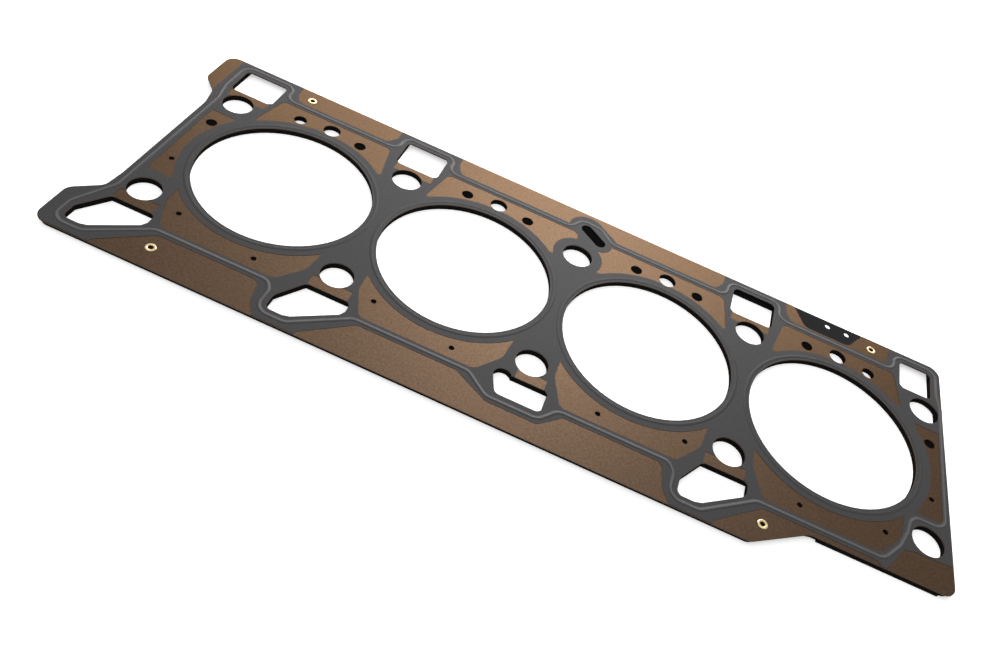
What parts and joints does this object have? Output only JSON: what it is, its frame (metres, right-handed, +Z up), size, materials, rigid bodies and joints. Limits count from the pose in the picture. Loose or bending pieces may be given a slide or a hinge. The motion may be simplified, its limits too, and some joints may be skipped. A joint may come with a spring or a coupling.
{
  "type": "cylinder head gasket",
  "caption": "Flat layered cylinder head gasket for an inline engine, with round bores, bolt holes, oil and coolant ports, printed grey sealing bands and raised bead lines.",
  "frame": {"origin": "on the underside, at the middle of the row of bores", "axes": "+X along the row of bores, +Y across it towards the coolant holes, +Z up out of the coated face"},
  "size_m": [0.4219, 0.1618, 0.0035],
  "materials": {
    "bronze_coated_sheet": "satin",
    "grey_sealing_coat": "satin",
    "black_core": "satin"
  },
  "bodies": {
    "root": {"top_sheet": "bronze_coated_sheet", "sealing_coat": "grey_sealing_coat", "core": "black_core"}
  },
  "joints": []
}
